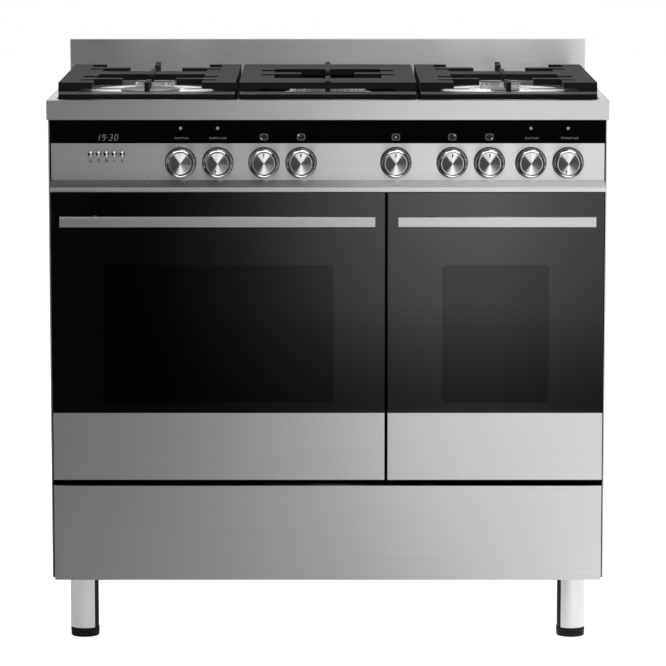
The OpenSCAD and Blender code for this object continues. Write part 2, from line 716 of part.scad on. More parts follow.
// Oven door. The frame is a hollow box behind the outer glass and the steel panel.
frame_in = 6;
door_wall = 2;
module door_glass(x)
    block(x, [front_y, front_y + glass_t], [door_z + door_panel_h, door_top]);
module door_panel(x)
    difference() {
        block(x, [front_y, front_y + glass_t], [door_z, door_z + door_panel_h]);
        block(x + [sheet_t, -sheet_t], [front_y + sheet_t, front_y + glass_t + 1],
            [door_z + sheet_t, door_z + door_panel_h - sheet_t]);
    }
window_z = door_top - 228;
module door_frame(x, window_w) {
    xs = x + [frame_in, -frame_in];
    ys = [front_y + glass_t, front_y + door_t];
    zs = [door_z + 11, door_top - 4];
    mid = (x[0] + x[1]) / 2;
    flange_y = ys[1] - glass_t - door_wall;
    difference() {
        block(xs, ys, zs);
        difference() {
            block(xs + [door_wall, -door_wall], [ys[0] - 1, flange_y], zs + [door_wall, -door_wall]);
            along_y(mid, [ys[0] - 1, flange_y + 1], window_z)
                rounded(window_w + 2 * door_wall, window_h + 2 * door_wall, 8 + door_wall);
            for (hx = [x[0] + hinge_inset, x[1] - hinge_inset])
                block([hx - 12, hx + 12], ys, [zs[0], hinge_z + 14]);
        }
        // Seat of the inner glass, and the window
        block(xs + [door_wall, -door_wall], [ys[1] - glass_t, ys[1] + 1], [oven_z - 19, zs[1] - door_wall]);
        along_y(mid, ys + [-1, 1], window_z) rounded(window_w, window_h, 8);
        for (hx = [x[0] + hinge_inset, x[1] - hinge_inset])
            block([hx - 4, hx + 4], [ys[0] + 2, ys[1] + 1], [zs[0] - 1, hinge_z + 10]);
    }
    for (hx = [x[0] + hinge_inset, x[1] - hinge_inset])
        rod_x([hx - 8, hx + 8], hinge_y, hinge_z, hinge_pin_r);
}
module inner_glass(x) {
    xs = x + [frame_in + door_wall + 0.5, -frame_in - door_wall - 0.5];
    block(xs, [front_y + door_t - glass_t, front_y + door_t],
        [oven_z - 18.5, door_top - 4 - door_wall - 0.5]);
}
module handle(x) {
    mid_z = door_top - handle_drop - handle_h / 2;
    y = [front_y - handle_out, front_y - handle_out + handle_t];
    along_x(x + [handle_inset, -handle_inset])
        translate([(y[0] + y[1]) / 2, mid_z]) rounded(handle_t, handle_h, 1.5);
    for (px = [x[0] + 70, x[1] - 70]) rod_y(px, [y[1], front_y], mid_z, handle_post_d / 2);
}
module left_door_glass() color([0.03, 0.03, 0.035]) door_glass(left_door);
module right_door_glass() color([0.03, 0.03, 0.035]) door_glass(right_door);
module left_door_panel() color([0.76, 0.76, 0.77]) door_panel(left_door);
module right_door_panel() color([0.76, 0.76, 0.77]) door_panel(right_door);
module left_door_frame() color([0.1, 0.1, 0.1]) door_frame(left_door, left_window_w);
module right_door_frame() color([0.1, 0.1, 0.1]) door_frame(right_door, right_window_w);
module left_inner_glass() color([0.2, 0.2, 0.22]) inner_glass(left_door);
module right_inner_glass() color([0.2, 0.2, 0.22]) inner_glass(right_door);
module left_handle() color([0.78, 0.78, 0.78]) handle(left_door);
module right_handle() color([0.78, 0.78, 0.78]) handle(right_door);

// Fixed hinge brackets: an eye on the door's pin and an arm back to the front frame
module hinge_brackets() color([0.6, 0.6, 0.6])
    for (hx = [left_door[0] + hinge_inset, left_door[1] - hinge_inset,
            right_door[0] + hinge_inset, right_door[1] - hinge_inset])
        difference() {
            union() {
                rod_x([hx - 2, hx + 2], hinge_y, hinge_z, 8);
                block([hx - 2, hx + 2], [hinge_y, frame_y], [hinge_z - 5, hinge_z + 5]);
                block([hx - 10, hx + 10], [frame_y - sheet_t, frame_y], [hinge_z - 12, hinge_z + 12]);
            }
            rod_x([hx - 3, hx + 3], hinge_y, hinge_z, hinge_pin_r + run);
        }

module door_gaskets() color([0.15, 0.15, 0.15]) {
    y = [front_y + door_t + seat, frame_y];
    along_y(left_mid, y, oven_z + oven_h / 2)
        rounded_ring(left_oven_w + 6, oven_h + 6, oven_r + 3, 6);
    along_y(right_mid, y, oven_z + oven_h / 2)
        rounded_ring(right_oven_w + 6, oven_h + 6, oven_r + 3, 6);
}

// Side ladders and one wire shelf in each oven
levels = 5;
wire_r = 2.5;
module oven_wires(mid, w) {
    y = [liner_y + 20, liner_y + oven_d - 40];
    low = oven_z + 50;
    pitch = (oven_h - 100) / (levels - 1);
    wall = w / 2 - wire_r - 2;
    for (side = [0, 1])
        translate([mid, 0, 0]) mirror([side, 0, 0])
            for (yy = [y[0] + 20, y[1] - 20]) {
                rod_z(-wall, yy, [low - 20, low + oven_h - 80], wire_r);
                // Pegs that hold the ladder on the cavity's wall
                for (z = [low - 10, low + oven_h - 90]) rod_x([-w / 2, -wall], yy, z, 2);
            }
    for (side = [-1, 1], i = [0:levels - 1])
        rod_y(mid + side * (wall - 4), y, low + i * pitch, wire_r);
    // The ends of the shelf's cross wires lie on the ladder rungs
    shelf_z = low + 2 * pitch + 2 * wire_r - 0.3;
    half = wall - 10;
    for (yy = [y[0] + 8, y[1] - 8]) rod_x([mid - wall + 2, mid + wall - 2], yy, shelf_z, wire_r);
    for (side = [-1, 1]) rod_y(mid + side * half, y + [4, -4], shelf_z + 0.5, wire_r);
    bars = round(w / 36);
    for (i = [1:bars - 1])
        rod_y(mid - half + i * 2 * half / bars, [y[0] + 6, y[1] - 6], shelf_z + 0.5, 1.6);
}
module oven_shelves() color([0.75, 0.75, 0.75]) {
    oven_wires(left_mid, left_oven_w);
    oven_wires(right_mid, right_oven_w);
}

// Round baffle in front of each fan
module fan_cover(mid, d) {
    y = liner_y + oven_d;
    depth = 28;
    slots = 16;
    difference() {
        rod_y(mid, [y - depth, y], oven_z + oven_h / 2, d / 2 + 14);
        rod_y(mid, [y - depth + sheet_t, y + 1], oven_z + oven_h / 2, d / 2 + 14 - sheet_t);
        for (i = [0:slots - 1])
            translate([mid, y, oven_z + oven_h / 2]) rotate([0, i * 360 / slots, 0])
                block([d / 5, d / 2 - 6], [-depth - 1, -depth + 3], [-2.5, 2.5]);
    }
}
module fan_covers() color([0.14, 0.14, 0.15]) {
    fan_cover(left_mid, left_fan_d);
    fan_cover(right_mid, right_fan_d);
}

// Grill rods under the roof of each cavity, bent in loops and held by the back wall
module grill_rods(mid, w, loops) {
    z = oven_z + oven_h - 18;
    bend = w * 0.8 / (4 * loops);
    y = [liner_y + 60 + bend, liner_y + oven_d];
    for (i = [0:loops - 1]) {
        x = mid + (i - (loops - 1) / 2) * 4 * bend;
        for (side = [-1, 1]) rod_y(x + side * bend, y, z, 3.5);
        translate([x, y[0] + 1, z]) rotate([0, 0, 180]) rotate_extrude(angle = 180)
            translate([bend, 0]) circle(3.7);
    }
}
module grill_elements() color([0.35, 0.33, 0.32]) {
    grill_rods(left_mid, left_oven_w, 3);
    grill_rods(right_mid, right_oven_w, 2);
}

// Legs: black post and foot, with a polished sleeve that is open towards the middle
leg_places = [for (sx = [-1, 1], y = [front_y + leg_front, back_y - leg_back]) [sx * leg_x, y, sx]];
sleeve_t = 1;
post_r = leg_d / 2 - sleeve_t - 0.1;
module leg_posts() color([0.04, 0.04, 0.04])
    for (p = leg_places) translate([p[0], p[1], 0]) {
        cylinder(r = post_r, h = leg_h);
        rotate_extrude() polygon([[0, 0], [leg_d / 2 - 2, 0], [leg_d / 2 - 0.5, 1.5],
            [leg_d / 2, foot_h - 2], [leg_d / 2, foot_h - 1], [leg_d / 2 - 1, foot_h], [0, foot_h]]);
    }
module leg_sleeves() color([0.85, 0.85, 0.86])
    for (p = leg_places) translate([p[0], p[1], foot_h]) difference() {
        cylinder(r = leg_d / 2, h = leg_h - foot_h);
        translate([0, 0, -1]) cylinder(r = leg_d / 2 - sleeve_t, h = leg_h);
        // The open side, 44 degrees either side of the middle of the cooker
        translate([0, 0, -1]) linear_extrude(leg_h)
            polygon([[0, 0], [-p[2] * leg_d, leg_d * tan(44)], [-p[2] * leg_d, -leg_d * tan(44)]]);
    }

// Storage drawer on channel runners
box_x = inner_x - 13;
slide_engaged = 96;
slide_y = [front_y + 26, front_y + 26 + drawer_travel + slide_engaged];
slide_z = drawer_z + 64;
box_y = [front_y + 20, slide_y[1] + 8];
box_z = [drawer_z + 8, drawer_z + drawer_h - 29];
module drawer_front() color([0.76, 0.76, 0.77]) {
    y = [front_y, box_y[0]];
    z = [drawer_z, drawer_z + drawer_h];
    difference() {
        block([-front_w / 2, front_w / 2], y, z);
        block([sheet_t - front_w / 2, front_w / 2 - sheet_t], y + [sheet_t, -sheet_t],
            z + [sheet_t, -sheet_t]);
        block([12 - box_x, box_x - 12], [y[0] + 2, y[1] + 1], box_z + [8, -8]);
    }
}
module drawer_box() color([0.5, 0.51, 0.52]) {
    difference() {
        block([-box_x, box_x], box_y, box_z);
        block([sheet_t - box_x, box_x - sheet_t], box_y + [sheet_t, -sheet_t],
            [box_z[0] + sheet_t, box_z[1] + 1]);
    }
    // Moving halves of the runners
    for (side = [0, 1]) mirror([side, 0, 0]) {
        block([box_x, box_x + 3], slide_y, [slide_z - 15, slide_z + 15]);
        block([box_x + 3 - eps, inner_x - 3.5], slide_y, [slide_z - 7, slide_z + 7]);
    }
}
module drawer_runners() color([0.6, 0.6, 0.6])
    for (side = [0, 1]) mirror([side, 0, 0]) difference() {
        block([box_x + 3.5, inner_x], slide_y + [4, 4], [slide_z - 18, slide_z + 18]);
        block([box_x + 3, inner_x - 2], slide_y + [3, 5], [slide_z - 7 - seat, slide_z + 7 + seat]);
    }

// Gas inlet: elbow behind the back panel, with its threaded end pointing down
inlet_r = 10.5;
inlet_y = back_y + 16;
inlet_len = 15;
module gas_inlet() color([0.75, 0.65, 0.38])
    difference() {
        union() {
            rod_y(inlet_x, [back_y - sheet_t, inlet_y], knob_z, 11);
            rod_z(inlet_x, inlet_y, [knob_z - 22, knob_z + 11], 12);
            rod_z(inlet_x, inlet_y, [knob_z - 22 - inlet_len, knob_z - 21], inlet_r);
        }
        rod_z(inlet_x, inlet_y, [knob_z - 24 - inlet_len, knob_z], 6);
        rod_y(inlet_x, [back_y - 2, inlet_y], knob_z, 6);
    }

// Mains terminal box on the back panel, with an empty cable gland underneath
module terminal_cover() color([0.2, 0.2, 0.2]) {
    x = [-inlet_x, 100 - inlet_x];
    y = [back_y - sheet_t, back_y + 26];
    z = [hob_z - 210, hob_z - 140];
    difference() {
        union() {
            block(x, y, z);
            rod_z(x[0] + 50, y[0] + 15, [z[0] - 14, z[0] + 1], 11);
        }
        block(x + [2, -2], [y[0] - 1, y[1] - 2], z + [2, -2]);
        rod_z(x[0] + 50, y[0] + 15, [z[0] - 15, z[0] + 3], 7);
    }
}

left_side_panel();
right_side_panel();
back_panel();
base_tray();
front_frame();
left_oven_liner();
right_oven_liner();
oven_insulation();
hob_top();
upstand();
control_panel();
control_glass();
clock_module();
indicator_lamps();
knob_bezels();
gas_manifold();
oven_switches();
burner_cups();
burner_heads();
burner_caps();
igniters();
door_gaskets();
hinge_brackets();
oven_shelves();
fan_covers();
grill_elements();
leg_posts();
leg_sleeves();
drawer_runners();
gas_inlet();
terminal_cover();
left_door_glass();
left_door_panel();
left_door_frame();
left_inner_glass();
left_handle();
right_door_glass();
right_door_panel();
right_door_frame();
right_inner_glass();
right_handle();
drawer_front();
drawer_box();
left_function_knob();
left_temperature_knob();
front_left_knob();
rear_left_knob();
wok_knob();
rear_right_knob();
front_right_knob();
right_function_knob();
right_temperature_knob();
button_1();
button_2();
button_3();
button_4();
button_5();
left_pan_support();
centre_pan_support();
right_pan_support();
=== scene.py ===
import json
import math

import bpy
import numpy as np
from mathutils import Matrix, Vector


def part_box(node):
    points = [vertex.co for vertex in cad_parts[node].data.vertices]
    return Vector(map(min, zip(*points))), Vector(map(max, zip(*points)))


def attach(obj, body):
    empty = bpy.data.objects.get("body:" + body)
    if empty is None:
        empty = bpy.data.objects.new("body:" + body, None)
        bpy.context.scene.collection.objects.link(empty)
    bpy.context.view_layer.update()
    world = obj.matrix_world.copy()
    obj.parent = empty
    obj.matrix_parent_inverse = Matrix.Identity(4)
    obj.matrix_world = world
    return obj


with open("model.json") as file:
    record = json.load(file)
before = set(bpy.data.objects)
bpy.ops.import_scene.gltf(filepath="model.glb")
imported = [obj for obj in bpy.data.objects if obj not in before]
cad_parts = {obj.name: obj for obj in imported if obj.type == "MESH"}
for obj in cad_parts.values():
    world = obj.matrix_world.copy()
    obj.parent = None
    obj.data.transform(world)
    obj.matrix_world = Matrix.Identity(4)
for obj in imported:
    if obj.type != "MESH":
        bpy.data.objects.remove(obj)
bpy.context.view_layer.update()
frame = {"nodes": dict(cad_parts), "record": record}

nodes = frame["nodes"]
print("frame loaded:", len(nodes), "nodes")

# Places on the front, in metres, read from the CAD nodes
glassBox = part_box("control_glass")
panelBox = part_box("control_panel")
stripFront = glassBox[0][1]
fasciaFront = panelBox[0][1] + 0.010
fasciaLow = glassBox[0][2] - 0.059
knobNames = ["left_function_knob", "left_temperature_knob", "front_left_knob", "rear_left_knob", "wok_knob",
             "rear_right_knob", "front_right_knob", "right_function_knob", "right_temperature_knob"]
knobX = [(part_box(name)[0][0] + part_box(name)[1][0]) / 2 for name in knobNames]
knobZ = (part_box("wok_knob")[0][2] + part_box("wok_knob")[1][2]) / 2


# Shader building: each call adds one node and wires its inputs
class Shader:
    def __init__(self, name):
        self.material = bpy.data.materials.new(name)
        self.material.use_nodes = True
        self.tree = self.material.node_tree
        self.tree.nodes.clear()
        self.output = self.tree.nodes.new("ShaderNodeOutputMaterial")
        self.surface = self.tree.nodes.new("ShaderNodeBsdfPrincipled")
        self.tree.links.new(self.surface.outputs[0], self.output.inputs[0])
        self.place = self.tree.nodes.new("ShaderNodeTexCoord").outputs["Object"]

    def wire(self, value, socket):
        if isinstance(value, bpy.types.NodeSocket):
            self.tree.links.new(value, socket)
        else:
            socket.default_value = value

    def sums(self, operation, first, second=0.0, third=0.0):
        node = self.tree.nodes.new("ShaderNodeMath")
        node.operation = operation
        for value, socket in zip((first, second, third), node.inputs):
            self.wire(value, socket)
        return node.outputs[0]

    def vector(self, operation, first, second):
        node = self.tree.nodes.new("ShaderNodeVectorMath")
        node.operation = operation
        self.wire(first, node.inputs[0])
        self.wire(second, node.inputs[1])
        return node.outputs["Vector"]

    def parts(self, vector):
        node = self.tree.nodes.new("ShaderNodeSeparateXYZ")
        self.wire(vector, node.inputs[0])
        return node.outputs

    def joined(self, x, y, z):
        node = self.tree.nodes.new("ShaderNodeCombineXYZ")
        for value, socket in zip((x, y, z), node.inputs):
            self.wire(value, socket)
        return node.outputs[0]

    def noise(self, scale, detail=2.0, stretch=(1, 1, 1), roughness=0.5):
        node = self.tree.nodes.new("ShaderNodeTexNoise")
        self.wire(self.vector("MULTIPLY", self.place, stretch), node.inputs["Vector"])
        node.inputs["Scale"].default_value = scale
        node.inputs["Detail"].default_value = detail
        node.inputs["Roughness"].default_value = roughness
        return node.outputs["Fac"]

    def spread(self, value, low, high, inLow=0.0, inHigh=1.0):
        node = self.tree.nodes.new("ShaderNodeMapRange")
        self.wire(value, node.inputs["Value"])
        for key, number in (("From Min", inLow), ("From Max", inHigh), ("To Min", low), ("To Max", high)):
            node.inputs[key].default_value = number
        return node.outputs[0]

    def tones(self, value, stops):
        node = self.tree.nodes.new("ShaderNodeValToRGB")
        self.wire(value, node.inputs[0])
        ramp = node.color_ramp
        while len(ramp.elements) < len(stops):
            ramp.elements.new(0.5)
        for element, (at, tone) in zip(ramp.elements, stops):
            element.position = at
            element.color = (tone, tone, tone, 1)
        return node.outputs[0]

    def turnToWorld(self, vector, kind):
        node = self.tree.nodes.new("ShaderNodeVectorTransform")
        node.vector_type, node.convert_from, node.convert_to = kind, "OBJECT", "WORLD"
        self.wire(vector, node.inputs[0])
        return node.outputs[0]

    def bump(self, height, strength, distance):
        node = self.tree.nodes.new("ShaderNodeBump")
        self.wire(height, node.inputs["Height"])
        node.inputs["Strength"].default_value = strength
        node.inputs["Distance"].default_value = distance
        return node.outputs[0]

    def set(self, **values):
        for key, value in values.items():
            self.wire(value, self.surface.inputs[key.replace("_", " ")])
        return self


# The same calls on a node tree that exists already
class TreeShader(Shader):
    def __init__(self, tree):
        self.tree = tree
        self.surface = next((node for node in tree.nodes if node.type == "BSDF_PRINCIPLED"), None)


# Steel with fine lines along the width; the lines stretch the reflections upwards
def brushedSteel(name, level, rough, lines=1.0, stretch=(4, 1500, 1500)):
    s = Shader(name)
    fine = s.noise(1.0, 2.0, stretch, 0.6)
    broad = s.noise(3.0, 2.0)
    tone = s.spread(fine, level * (1 - 0.07 * lines), level * (1 + 0.06 * lines), 0.3, 0.7)
    colour = s.joined(tone, tone, s.sums("MULTIPLY", tone, 1.012))
    s.set(Base_Color=colour, Metallic=1.0, Anisotropic=0.94, Anisotropic_Rotation=0.25,
          Tangent=(1.0, 0.04, 0.02),
          Roughness=s.sums("ADD", s.spread(fine, rough - 0.02, rough + 0.03, 0.3, 0.7),
                           s.spread(broad, -0.01, 0.01)),
          Normal=s.bump(fine, 0.04 * lines, 0.0001))
    return s.material


# The hob sheet: in the well, a bright patch with round ends surrounds each outer pair of burners, a painted
# reflection of the light made by a less metallic, smoother finish there
def hobSteel(name, level, rough, paintedSheen):
    material = brushedSteel(name, level, rough, 0.7)
    s = TreeShader(material.node_tree)
    x, y, z = s.parts(s.tree.nodes.new("ShaderNodeTexCoord").outputs["Object"])
    dx = s.sums("SUBTRACT", s.sums("ABSOLUTE", x), paintedSheen["x"])
    dy = s.sums("SUBTRACT", y, s.sums("MINIMUM", s.sums("MAXIMUM", y, paintedSheen["front"]), paintedSheen["back"]))
    away = s.sums("SQRT", s.sums("ADD", s.sums("MULTIPLY", dx, dx), s.sums("MULTIPLY", dy, dy)))
    shape = s.spread(away, 1.0, 0.0, paintedSheen["radius"] - paintedSheen["soft"], paintedSheen["radius"])
    inside = s.sums("MULTIPLY", shape, s.sums("LESS_THAN", z, paintedSheen["top"]))
    # Painted reflection: inside the patch the sheet is less metallic, so its colour shows bright under the
    # lamps
    s.set(Metallic=s.spread(inside, 1.0, paintedSheen["metal"]), Roughness=s.spread(inside, rough, rough - 0.04))
    return material


# The slope of the control panel: folded with the steel's lines flattened, so it shows the room ahead;
# its colour is darkened as painted shade, so it looks dimmer
def panelSteel(name, level, rough, slope):
    material = brushedSteel(name, level, rough)
    s = TreeShader(material.node_tree)
    _, _, z = s.parts(s.tree.nodes.new("ShaderNodeTexCoord").outputs["Object"])
    above, below = s.sums("GREATER_THAN", z, slope["low"]), s.sums("LESS_THAN", z, slope["high"])
    inside = s.sums("MULTIPLY", above, below)
    # Painted shade: the colour on the slope is darkened
    share = s.spread(inside, 1.0, slope["shadeDim"])
    base, normal = s.surface.inputs["Base Color"], s.surface.inputs["Normal"]
    s.set(Base_Color=s.vector("MULTIPLY", base.links[0].from_socket, s.joined(share, share, share)))
    ahead = s.joined(0.0, s.sums("MULTIPLY", inside, slope["ahead"]), s.sums("MULTIPLY", inside, slope["up"]))
    s.set(Normal=s.vector("NORMALIZE", s.vector("ADD", normal.links[0].from_socket, ahead), (0, 0, 0)))
    s.set(Roughness=s.spread(inside, rough, rough * slope["polish"]))
    return material


# Turned steel: circles round the axis at x0, z0. The slightly dished face gives the bright and dark wedges;
# a thin ring of painted shade, darkened colour for the groove, and a smoother ring surround it
def turnedSteel(name, x0, z0, look):
    s = Shader(name)
    x, _, z = s.parts(s.place)
    dx, dz = s.sums("SUBTRACT", x, x0), s.sums("SUBTRACT", z, z0)
    radius = s.sums("SQRT", s.sums("ADD", s.sums("MULTIPLY", dx, dx), s.sums("MULTIPLY", dz, dz)))
    rings = s.tree.nodes.new("ShaderNodeTexNoise")
    s.wire(s.joined(s.sums("MULTIPLY", radius, look["rings"]), 0.0, 0.0), rings.inputs["Vector"])
    rings.inputs["Scale"].default_value = 1.0
    # Painted shade: the colour is darkened in a thin ring round the face, for the shade in the groove
    groove = s.sums("MULTIPLY", s.sums("GREATER_THAN", radius, look["grooveIn"]),
                    s.sums("LESS_THAN", radius, look["grooveOut"]))
    lined = s.spread(rings.outputs["Fac"], look["level"] * 0.94, look["level"] * 1.05, 0.3, 0.7)
    tone = s.sums("MULTIPLY", lined, s.spread(groove, 1.0, look["grooveShade"]))
    outward = s.turnToWorld(s.joined(dx, 0.0002, dz), "VECTOR")
    lean = s.sums("DIVIDE", look["dish"], s.sums("MAXIMUM", radius, 0.001))
    hollow = s.joined(s.sums("MULTIPLY", dx, lean), -1.0, s.sums("MULTIPLY", dz, lean))
    dished = s.turnToWorld(hollow, "NORMAL")
    onFace = s.sums("LESS_THAN", radius, look["face"])
    normal = s.tree.nodes.new("ShaderNodeNewGeometry").outputs["Normal"]
    mixed = s.vector("ADD", s.vector("MULTIPLY", dished, s.joined(onFace, onFace, onFace)),
                     s.vector("MULTIPLY", normal, s.joined(*[s.sums("SUBTRACT", 1.0, onFace)] * 3)))
    s.set(Base_Color=s.joined(tone, tone, s.sums("MULTIPLY", tone, 1.01)), Metallic=1.0,
          Roughness=s.spread(onFace, look["rough"] * look["polish"], look["rough"]), Anisotropic=0.9,
          Tangent=outward, Normal=s.vector("NORMALIZE", mixed, (0, 0, 0)))
    return s.material


def plain(name, level, rough, metallic=0.0, tint=(1, 1, 1), coat=0.0, specular=0.5):
    s = Shader(name)
    grain = s.noise(60.0, 3.0)
    colour = (level * tint[0], level * tint[1], level * tint[2], 1)
    s.set(Base_Color=colour, Metallic=metallic, Roughness=s.spread(grain, rough * 0.9, rough * 1.12),
          Coat_Weight=coat, Coat_Roughness=0.06, Specular_IOR_Level=specular)
    return s.material


def castIron():
    s = Shader("castIron")
    pits = s.noise(900.0, 4.0, roughness=0.65)
    waves = s.noise(120.0, 3.0)
    tone = s.spread(waves, 0.005, 0.008)
    height = s.sums("ADD", pits, s.sums("MULTIPLY", waves, 1.5))
    s.set(Base_Color=s.joined(tone, tone, s.sums("MULTIPLY", tone, 1.03)),
          Roughness=s.spread(pits, 0.66, 0.8), Specular_IOR_Level=0.18, Normal=s.bump(height, 0.25, 0.0005))
    return s.material


# Printed black glass; the window of each door is a shade darker, with rounded corners
def doorGlass(name, x0, z0, halfWidth, halfHeight, corner):
    s = Shader(name)
    x, _, z = s.parts(s.place)
    overX = s.sums("SUBTRACT", s.sums("ABSOLUTE", s.sums("SUBTRACT", x, x0)), halfWidth - corner)
    overZ = s.sums("SUBTRACT", s.sums("ABSOLUTE", s.sums("SUBTRACT", z, z0)), halfHeight - corner)
    cornerX, cornerZ = s.sums("MAXIMUM", overX, 0.0), s.sums("MAXIMUM", overZ, 0.0)
    reach = s.sums("SQRT", s.sums("ADD", s.sums("MULTIPLY", cornerX, cornerX),
                                  s.sums("MULTIPLY", cornerZ, cornerZ)))
    inside = s.sums("LESS_THAN", reach, corner)
    tone = s.spread(inside, 0.0015, 0.0005)
    s.set(Base_Color=s.joined(tone, tone, s.sums("MULTIPLY", tone, 1.05)),
          Roughness=s.spread(inside, 0.05, 0.03), Specular_IOR_Level=s.spread(inside, 0.55, 0.4))
    return s.material


# The control strip is printed solid black behind a matt surface, so it shows almost no reflection
def stripGlass():
    s = Shader("stripGlass")
    haze = s.noise(40.0, 2.0)
    s.set(Base_Color=(0.0008, 0.0008, 0.0009, 1), Roughness=s.spread(haze, 0.3, 0.36),
          Specular_IOR_Level=0.02)
    return s.material


# The doors' windows, the hob's painted reflection patches, the panel's slope with its painted shade and the
# knobs' turned faces with their painted groove shade
window = {"drop": 0.228, "halfHeight": 0.1115, "corner": 0.008, "halfWidth": {"left": 0.185, "right": 0.086}}
paintedSheen = {"x": 0.296, "front": -0.15, "back": 0.063, "radius": 0.104, "soft": 0.004, "metal": 0.25,
         "top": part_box("burner_cups")[1][2] - 0.001}
slope = {"low": fasciaLow - 0.011, "high": fasciaLow, "shadeDim": 0.72, "ahead": -20.0, "up": 4.0, "polish": 0.6}
turning = {"level": 0.74, "rough": 0.30, "face": 0.0171, "dish": 0.50, "rings": 4000.0, "grooveIn": 0.0176,
           "grooveOut": 0.0190, "grooveShade": 0.2, "polish": 0.45}
finishes = {
    "brushed_steel": brushedSteel("brushedSteel", 0.64, 0.33),
    "hob_steel": hobSteel("hobSteel", 0.58, 0.33, paintedSheen),
    "handle_steel": brushedSteel("handleSteel", 0.58, 0.32, 0.6),
    "dark_chrome": plain("darkChrome", 0.05, 0.25, 1.0),
    "galvanised": plain("galvanised", 0.42, 0.42, 0.85, (0.98, 1, 1.03)),
    "zinc_steel": plain("zincSteel", 0.5, 0.35, 1.0, (1, 0.99, 0.95)),
    "black_enamel": plain("blackEnamel", 0.012, 0.16, coat=0.6),
    "black_glass": stripGlass(),
    "clear_glass": plain("clearGlass", 0.02, 0.04, coat=0.3),
    "wool": plain("wool", 0.6, 0.95, tint=(1, 0.95, 0.8)),
    "gasket": plain("gasket", 0.03, 0.9),
    "black_plastic": plain("blackPlastic", 0.006, 0.5, specular=0.2),
    "matt_black": plain("mattBlack", 0.003, 0.7, specular=0.1),
    "leg_steel": plain("legSteel", 0.82, 0.3, 0.45),
    "lamp_lens": plain("lampLens", 0.24, 0.3, tint=(1, 1, 0.95)),
    "chrome": plain("chrome", 0.78, 0.09, 1.0),
    "brass": plain("brass", 0.62, 0.3, 1.0, (1, 0.76, 0.4)),
    "ceramic": plain("ceramic", 0.75, 0.3, tint=(1, 0.98, 0.9)),
    "burner_alloy": plain("burnerAlloy", 0.85, 0.28, 0.7),
    "cap_enamel": plain("capEnamel", 0.05, 0.36, coat=0.2),
    "element_steel": plain("elementSteel", 0.08, 0.55, 0.6, (1, 0.93, 0.85)),
    "cast_iron": castIron(),
    # castEdge is a lighter copy of cast iron, used as a painted highlight on the rail lips' upper faces
    "cast_edge": plain("castEdge", 0.035, 0.55),
}
slotOf = {part["node"]: part["material_slot"] for part in frame["record"]["subparts"]}
for name, thing in nodes.items():
    if not thing.data.materials:
        thing.data.materials.append(None)
    for place in range(len(thing.data.materials)):
        thing.data.materials[place] = finishes.get(slotOf[name]) or finishes["brushed_steel"]
nodes["control_panel"].data.materials[0] = panelSteel("panelSteel", 0.64, 0.33, slope)
nodes["knob_bezels"].data.materials[0] = finishes["dark_chrome"]
nodes["front_frame"].data.materials[0] = finishes["matt_black"]
nodes["leg_sleeves"].data.materials[0] = finishes["leg_steel"]
nodes["upstand"].data.materials[0] = brushedSteel("upstandSteel", 0.62, 0.29, 0.5)
for name, x in zip(knobNames, knobX):
    nodes[name].data.materials[0] = turnedSteel(name + "Steel", x, knobZ, turning)
for side, halfWidth in window["halfWidth"].items():
    low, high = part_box(side + "_door_glass")
    nodes[side + "_door_glass"].data.materials[0] = doorGlass(
        side + "DoorGlass", (low[0] + high[0]) / 2, high[2] - window["drop"], halfWidth,
        window["halfHeight"], window["corner"])
print("finishes set")


# New pieces: a mesh from rows of points, at the origin, riding on a CAD body
def piece(name, points, faces, material, body, smooth=0.0):
    mesh = bpy.data.meshes.new(name)
    mesh.from_pydata(np.asarray(points).tolist(), [], faces)
    mesh.materials.append(material)
    mesh.update()
    if smooth:
        mesh.shade_smooth()
        mesh.set_sharp_from_angle(angle=math.radians(smooth))
    thing = bpy.data.objects.new(name, mesh)
    bpy.context.scene.collection.objects.link(thing)
    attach(thing, body)
    return thing


printed = plain("printedGrey", 0.22, 0.5)
printedDim = plain("printedDim", 0.11, 0.5)
printedBright = plain("printedBright", 0.75, 0.5)
inkBlack = plain("inkBlack", 0.01, 0.5)


# Lettering printed on a face that looks towards the viewer: text X runs along X, text Y along Z
def lettering(name, words, x, z, y, height, material):
    curve = bpy.data.curves.new(name, "FONT")
    curve.body = words
    curve.size = height
    curve.align_x = "CENTER"
    curve.align_y = "CENTER"
    holder = bpy.data.objects.new(name + "Curve", curve)
    bpy.context.scene.collection.objects.link(holder)
    mesh = bpy.data.meshes.new_from_object(holder.evaluated_get(bpy.context.evaluated_depsgraph_get()))
    bpy.data.objects.remove(holder)
    flat = np.empty(len(mesh.vertices) * 3)
    mesh.vertices.foreach_get("co", flat)
    flat = flat.reshape(-1, 3)
    points = np.column_stack([flat[:, 0] + x, np.full(len(flat), y), flat[:, 1] + z])
    faces = [tuple(face.vertices) for face in mesh.polygons]
    bpy.data.meshes.remove(mesh)
    return piece(name, points, faces, material, "cooker_body")


# A flat line of a given width through corners in X and Z, closed or open
def stroke(corners, width, closed=False):
    corners = np.array(corners, float)
    before = np.roll(corners, 1, axis=0)
    after = np.roll(corners, -1, axis=0)
    if not closed:
        before[0], after[-1] = corners[0] * 2 - corners[1], corners[-1] * 2 - corners[-2]
    run = (corners - before) / np.linalg.norm(corners - before, axis=1)[:, None]
    nextRun = (after - corners) / np.linalg.norm(after - corners, axis=1)[:, None]
    side = np.column_stack([-(run + nextRun)[:, 1], (run + nextRun)[:, 0]])
    side /= (np.linalg.norm(side, axis=1)[:, None] + 1e-12)
    side *= (width / 2 / np.maximum(0.5, (side * np.column_stack([-run[:, 1], run[:, 0]])).sum(1)))[:, None]
    count = len(corners)
    points = np.vstack([corners + side, corners - side])
    last = count if closed else count - 1
    faces = [(i, i + count, (i + 1) % count + count, (i + 1) % count) for i in range(last)]
    return points, faces


